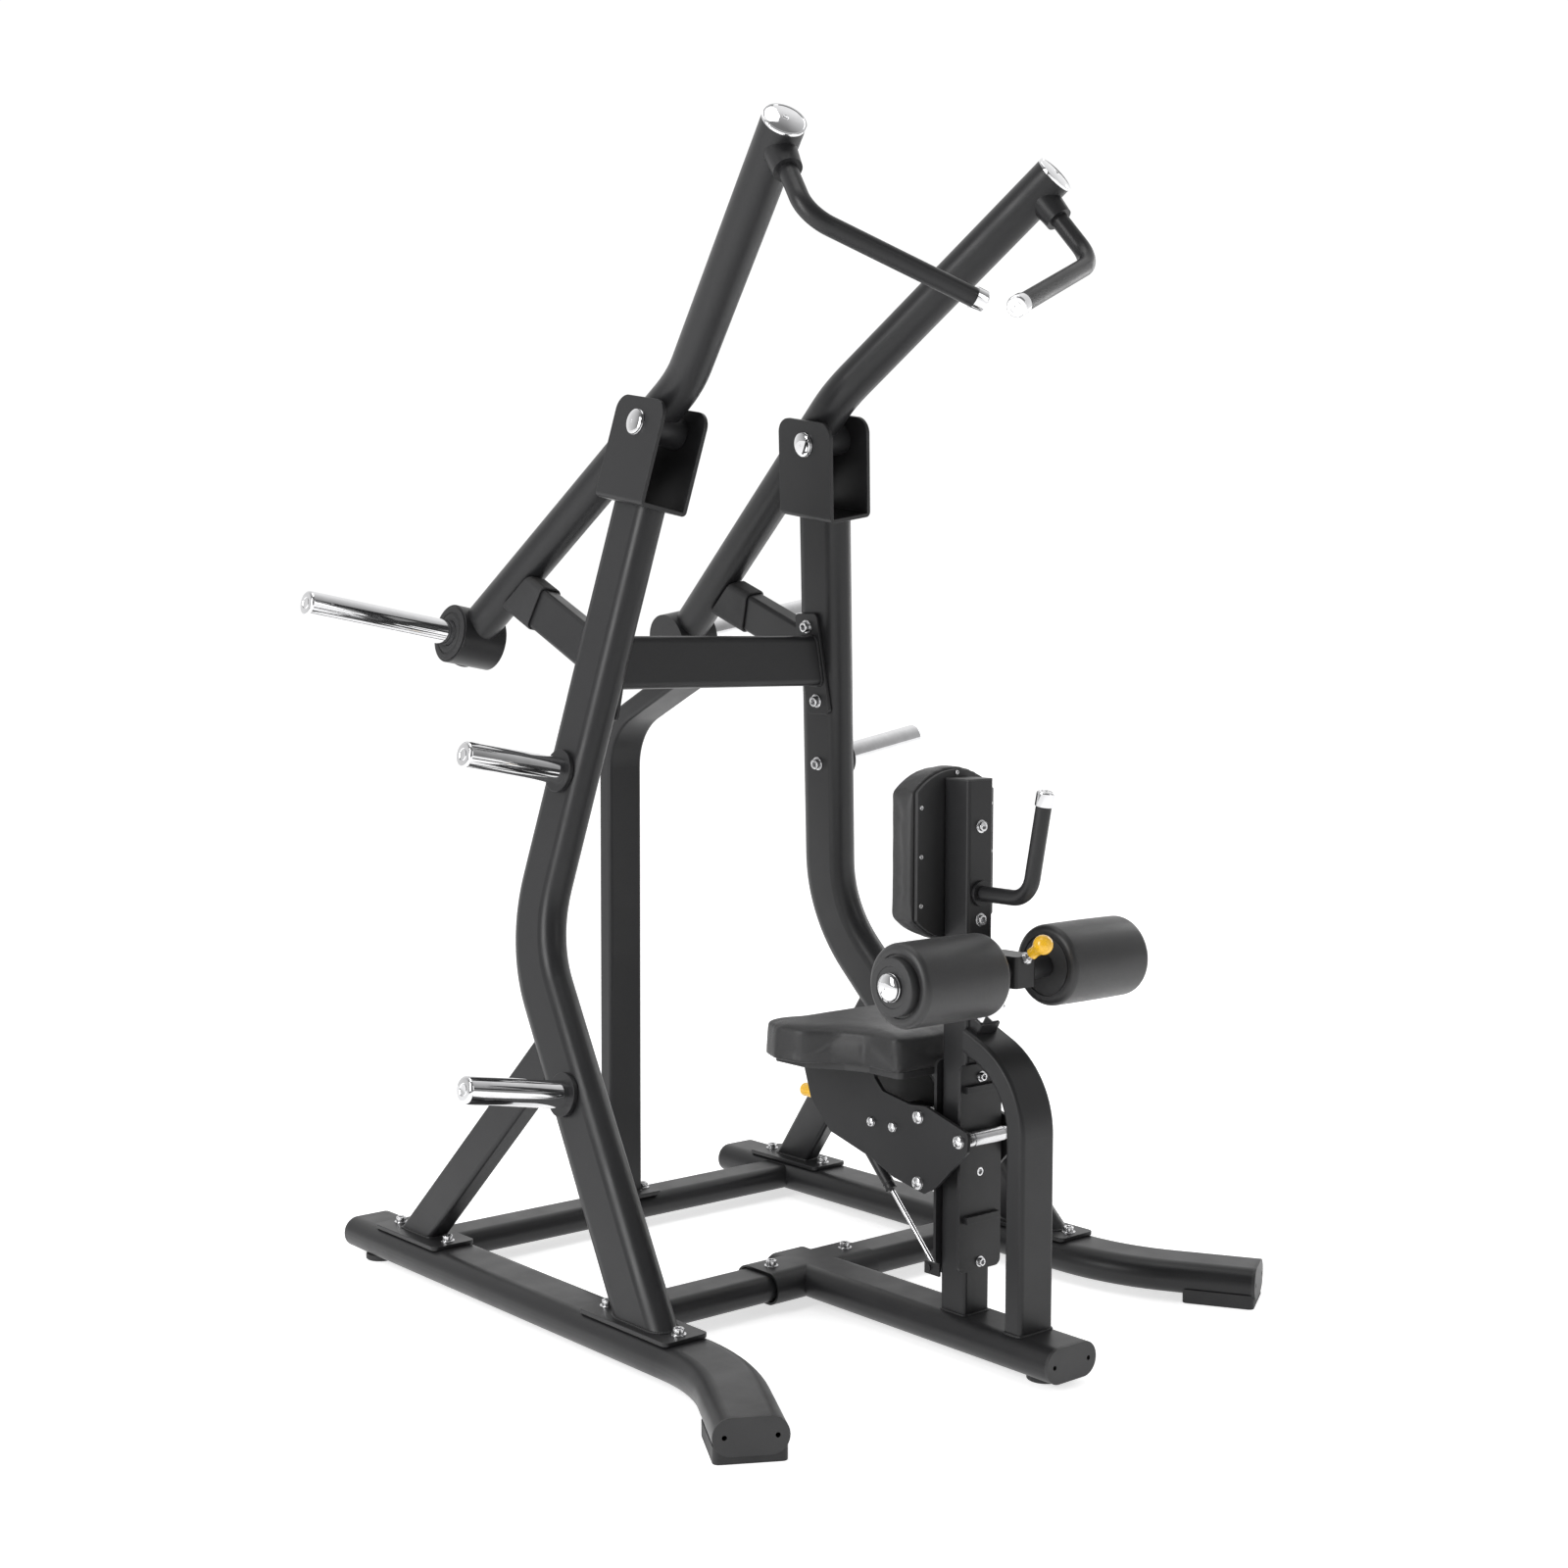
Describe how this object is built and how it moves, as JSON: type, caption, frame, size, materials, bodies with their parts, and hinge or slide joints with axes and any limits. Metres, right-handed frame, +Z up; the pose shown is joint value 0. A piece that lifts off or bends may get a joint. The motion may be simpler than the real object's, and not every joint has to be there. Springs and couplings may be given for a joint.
{
  "type": "lat pulldown machine",
  "caption": "Plate-loaded lat pulldown machine with two independent swinging arms, a height-adjustable seat, thigh rollers, a chest pad and weight storage horns.",
  "frame": {"origin": "on the floor under the middle of the machine's length and width", "axes": "+Z up, -Y towards the front, where the user faces, +X to the right seen from the front of the seat looking along +Y"},
  "size_m": [1.3342, 1.46, 2.1064],
  "materials": {
    "frame_paint": "black fine-texture powder coat",
    "chrome": "polished chrome plate",
    "bright_steel": "zinc-plated steel",
    "rubber": "matt moulded black rubber",
    "cap_plastic": "fine-grained black plastic",
    "vinyl": "black upholstery vinyl over foam",
    "roller_vinyl": "smooth black vinyl sleeve over foam",
    "yellow_plastic": "glossy golden yellow knob"
  },
  "bodies": {
    "frame": {"base_rail_left": "frame_paint", "base_rail_right": "frame_paint", "braces": "frame_paint", "centre_rail": "frame_paint", "chest_board": "cap_plastic", "chest_pad": "vinyl", "chrome_caps": "chrome", "column_left": "frame_paint", "column_right": "frame_paint", "frame_bolts": "bright_steel", "front_handle": "frame_paint", "front_post": "frame_paint", "gas_spring_lug": "frame_paint", "horn_flanges": "frame_paint", "joint_plates": "frame_paint", "middle_crossbars": "frame_paint", "pivot_bracket_left": "frame_paint", "pivot_bracket_right": "frame_paint", "pivot_pins": "bright_steel", "rear_crossbar": "frame_paint", "rear_post": "frame_paint", "round_feet": "rubber", "seat_post": "frame_paint", "stop_arms": "frame_paint", "stop_bumpers": "rubber", "storage_horns": "chrome", "thigh_socket": "frame_paint", "toe_pads": "rubber", "track_plates": "frame_paint", "tube_caps": "cap_plastic", "upper_beam": "frame_paint"},
    "arm_left": {"arm_tube_left": "frame_paint", "pivot_bushes_left": "bright_steel", "handle_bar_left": "frame_paint", "arm_end_caps_left": "chrome", "weight_hub_left": "frame_paint", "weight_horn_left": "chrome"},
    "arm_right": {"arm_tube_right": "frame_paint", "pivot_bushes_right": "bright_steel", "handle_bar_right": "frame_paint", "arm_end_caps_right": "chrome", "weight_hub_right": "frame_paint", "weight_horn_right": "chrome"},
    "seat": {"seat_pad": "vinyl", "seat_board": "cap_plastic", "seat_side_plates": "frame_paint", "seat_bolts": "bright_steel", "pin_housing": "frame_paint"},
    "seat_roller_front": {"seat_roller_front": "bright_steel"},
    "seat_roller_upper": {"seat_roller_upper": "bright_steel"},
    "seat_roller_lower": {"seat_roller_lower": "bright_steel"},
    "seat_pin": {"seat_pin": "yellow_plastic"},
    "gas_cylinder": {"gas_cylinder": "frame_paint"},
    "gas_rod": {"gas_rod": "bright_steel"},
    "thigh_support": {"thigh_tube": "chrome", "thigh_block": "frame_paint", "thigh_axle": "chrome"},
    "thigh_roller_left": {"thigh_roller_left": "roller_vinyl"},
    "thigh_roller_right": {"thigh_roller_right": "roller_vinyl"},
    "thigh_knob": {"thigh_knob": "yellow_plastic"}
  },
  "joints": [
    {"name": "arm_left_hinge", "type": "hinge", "parent": "frame", "child": "arm_left", "pos_m": [-0.20289, 0.12768, 1.62008], "axis": [0.9842, 0, -0.1771], "range_deg": [0, 55]},
    {"name": "arm_right_hinge", "type": "hinge", "parent": "frame", "child": "arm_right", "pos_m": [0.20289, 0.12768, 1.62008], "axis": [0.9842, 0, 0.1771], "range_deg": [0, 55]},
    {"name": "seat_slide", "type": "slide", "parent": "frame", "child": "seat", "axis": [0, 0, 1], "range_m": [-0.11, 0.06]},
    {"name": "seat_roller_front_spin", "type": "hinge", "parent": "seat", "child": "seat_roller_front", "pos_m": [0, -0.5293, 0.386], "axis": [1, 0, 0], "range_deg": [-270, 490]},
    {"name": "seat_roller_upper_spin", "type": "hinge", "parent": "seat", "child": "seat_roller_upper", "pos_m": [0, -0.4307, 0.412], "axis": [1, 0, 0], "range_deg": [-490, 270]},
    {"name": "seat_roller_lower_spin", "type": "hinge", "parent": "seat", "child": "seat_roller_lower", "pos_m": [0, -0.4307, 0.296], "axis": [1, 0, 0], "range_deg": [-490, 270]},
    {"name": "seat_pin_pull", "type": "slide", "parent": "seat", "child": "seat_pin", "axis": [0, 1, 0], "range_m": [0, 0.012], "stiffness_N_per_m": 900, "springref_m": -0.006},
    {"name": "gas_spring_swing", "type": "hinge", "parent": "seat", "child": "gas_cylinder", "pos_m": [-0.02, -0.19, 0.385], "axis": [1, 0, 0], "range_deg": [-20, 20]},
    {"name": "gas_rod_slide", "type": "slide", "parent": "gas_cylinder", "child": "gas_rod", "axis": [0, -0.6922, -0.7217], "range_m": [-0.08, 0.05]},
    {"name": "thigh_slide", "type": "slide", "parent": "frame", "child": "thigh_support", "axis": [0, -0.454, 0.891], "range_m": [0, 0.06]},
    {"name": "thigh_roller_left_spin", "type": "hinge", "parent": "thigh_support", "child": "thigh_roller_left", "pos_m": [-0.1725, -0.59, 0.681], "axis": [1, 0, 0], "continuous": true},
    {"name": "thigh_roller_right_spin", "type": "hinge", "parent": "thigh_support", "child": "thigh_roller_right", "pos_m": [0.1725, -0.59, 0.681], "axis": [1, 0, 0], "continuous": true},
    {"name": "thigh_knob_pull", "type": "slide", "parent": "thigh_support", "child": "thigh_knob", "axis": [0, -0.809, 0.5878], "range_m": [0, 0.008], "stiffness_N_per_m": 900, "springref_m": -0.006}
  ],
  "couplings": [
    {"joint": "seat_roller_front_spin", "follows": "seat_slide", "rad_per_m": -76.923},
    {"joint": "seat_roller_upper_spin", "follows": "seat_slide", "rad_per_m": 76.923},
    {"joint": "seat_roller_lower_spin", "follows": "seat_slide", "rad_per_m": 76.923},
    {"joint": "gas_spring_swing", "follows": "seat_slide", "rad_per_m": 2.3038},
    {"joint": "gas_rod_slide", "follows": "seat_slide", "ratio": 0.68}
  ]
}
